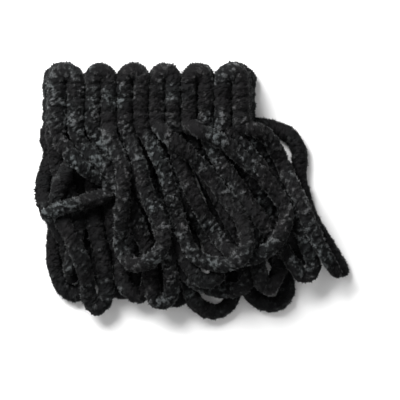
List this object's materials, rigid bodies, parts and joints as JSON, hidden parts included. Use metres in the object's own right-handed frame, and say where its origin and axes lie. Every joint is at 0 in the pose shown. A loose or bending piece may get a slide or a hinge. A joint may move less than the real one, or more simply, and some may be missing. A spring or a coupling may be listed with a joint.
{
  "type": "chenille loop fringe trim",
  "caption": "Cut length of loop fringe: thick velvety chenille yarn sewn to a tape in scallops along one edge and hanging below it in long overlapping loops.",
  "frame": {"origin": "on the back of the heading tape, at the middle of its length, just below its middle line: the face that is sewn to a garment or laid on a surface", "axes": "+X along the tape towards the fringe's right end as seen from the front, +Y from the loops towards the sewn scalloped edge, +Z from the back to the front"},
  "size_m": [0.1211, 0.1002, 0.0284],
  "materials": {
    "chenille": "velvety chenille pile",
    "tape": "woven twill tape",
    "thread": "spun polyester sewing thread"
  },
  "bodies": {
    "heading": {"heading_tape": "tape", "sewing_row_upper": "thread", "sewing_row_middle": "thread", "sewing_row_lower": "thread", "back_scallop_1": "chenille", "back_scallop_2": "chenille", "back_scallop_3": "chenille", "back_scallop_4": "chenille", "back_scallop_5": "chenille", "back_scallop_6": "chenille", "middle_scallop_1": "chenille", "middle_scallop_2": "chenille", "middle_scallop_3": "chenille", "middle_scallop_4": "chenille", "middle_scallop_5": "chenille", "middle_scallop_6": "chenille", "front_scallop_1": "chenille", "front_scallop_2": "chenille", "front_scallop_3": "chenille", "front_scallop_4": "chenille", "front_scallop_5": "chenille", "front_scallop_6": "chenille"},
    "lower_loops": {"back_strand_left": "chenille", "back_loop_1": "chenille", "back_loop_2": "chenille", "back_loop_3": "chenille", "back_loop_4": "chenille", "back_loop_5": "chenille", "back_strand_right": "chenille", "middle_strand_left": "chenille", "middle_loop_1": "chenille", "middle_loop_2": "chenille", "middle_loop_3": "chenille", "middle_loop_4": "chenille", "middle_loop_5": "chenille", "middle_strand_right": "chenille"},
    "front_strand_left": {"front_strand_left": "chenille"},
    "front_loop_1": {"front_loop_1": "chenille"},
    "front_loop_2": {"front_loop_2": "chenille"},
    "front_loop_5": {"front_loop_5": "chenille"},
    "front_loop_4": {"front_loop_4": "chenille"},
    "front_loop_3": {"front_loop_3": "chenille"},
    "front_strand_right": {"front_strand_right": "chenille"}
  },
  "joints": [
    {"name": "skirt_drop", "type": "hinge", "parent": "heading", "child": "lower_loops", "pos_m": [0, -0.0136, 0.0038], "axis": [-1, 0, 0], "range_deg": [-45, 0]},
    {"name": "left_strand_lift", "type": "hinge", "parent": "lower_loops", "child": "front_strand_left", "pos_m": [0, -0.0136, 0.0152], "axis": [-1, 0, 0], "range_deg": [0, 16]},
    {"name": "front_loop_1_lift", "type": "hinge", "parent": "front_strand_left", "child": "front_loop_1", "pos_m": [0, -0.0136, 0.0152], "axis": [-1, 0, 0], "range_deg": [0, 16]},
    {"name": "front_loop_2_lift", "type": "hinge", "parent": "front_loop_1", "child": "front_loop_2", "pos_m": [0, -0.0136, 0.0152], "axis": [-1, 0, 0], "range_deg": [0, 16]},
    {"name": "front_loop_5_lift", "type": "hinge", "parent": "lower_loops", "child": "front_loop_5", "pos_m": [0, -0.0136, 0.0152], "axis": [-1, 0, 0], "range_deg": [0, 15]},
    {"name": "front_loop_4_lift", "type": "hinge", "parent": "front_loop_5", "child": "front_loop_4", "pos_m": [0, -0.0136, 0.0152], "axis": [-1, 0, 0], "range_deg": [0, 10]},
    {"name": "front_loop_3_lift", "type": "hinge", "parent": "front_loop_4", "child": "front_loop_3", "pos_m": [0, -0.0136, 0.0152], "axis": [-1, 0, 0], "range_deg": [0, 10]},
    {"name": "right_strand_lift", "type": "hinge", "parent": "front_loop_5", "child": "front_strand_right", "pos_m": [0, -0.0136, 0.0152], "axis": [-1, 0, 0], "range_deg": [0, 80]}
  ]
}
